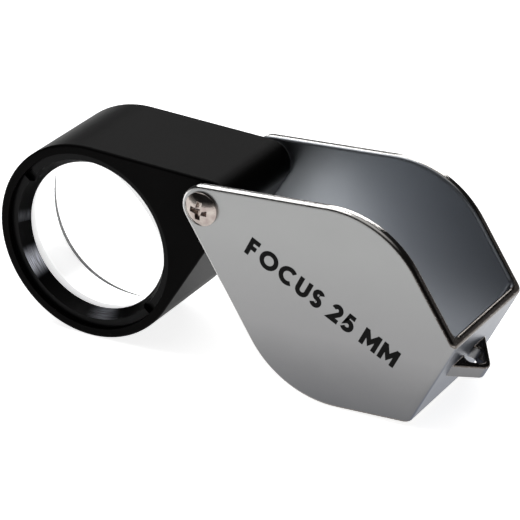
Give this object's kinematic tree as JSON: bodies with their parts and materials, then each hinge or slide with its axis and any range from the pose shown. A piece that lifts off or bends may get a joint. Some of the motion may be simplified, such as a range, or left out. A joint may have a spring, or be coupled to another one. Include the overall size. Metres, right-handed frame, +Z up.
{
  "type": "folding pocket loupe",
  "caption": "Folding pocket loupe: a lens holder with a doublet swings out of a two-plate metal case on a friction pivot; a lanyard eye is cast on the case's flat end.",
  "frame": {"origin": "on the surface that the loupe stands on, under the middle of its bounding box", "axes": "+X along the surface from the lens holder to the case, +Y along the pivot from the front plate to the rear plate, +Z up"},
  "size_m": [0.0626, 0.02, 0.0253],
  "materials": {
    "case_metal": "satin chrome plate with polished edges",
    "black_anodised": "black anodised, fine satin",
    "lens_glass": "polished optical glass",
    "bare_aluminium": "turned, bare",
    "ring_black": "black anodised, turned",
    "post_steel": "turned steel",
    "screw_nickel": "polished nickel plate",
    "washer_polymer": "matt low-friction polymer"
  },
  "bodies": {
    "case": {"case": "case_metal", "pivot_post": "post_steel", "front_screw": "screw_nickel", "rear_screw": "screw_nickel", "front_washer": "washer_polymer", "rear_washer": "washer_polymer"},
    "lens_holder": {"lens_holder": "black_anodised", "front_lens": "lens_glass", "rear_lens": "lens_glass", "lens_spacer": "bare_aluminium", "retaining_ring": "ring_black"}
  },
  "joints": [
    {"name": "holder_swing", "type": "hinge", "parent": "case", "child": "lens_holder", "pos_m": [-0.00176, 0, 0.02147], "axis": [0, -1, 0], "continuous": true}
  ]
}
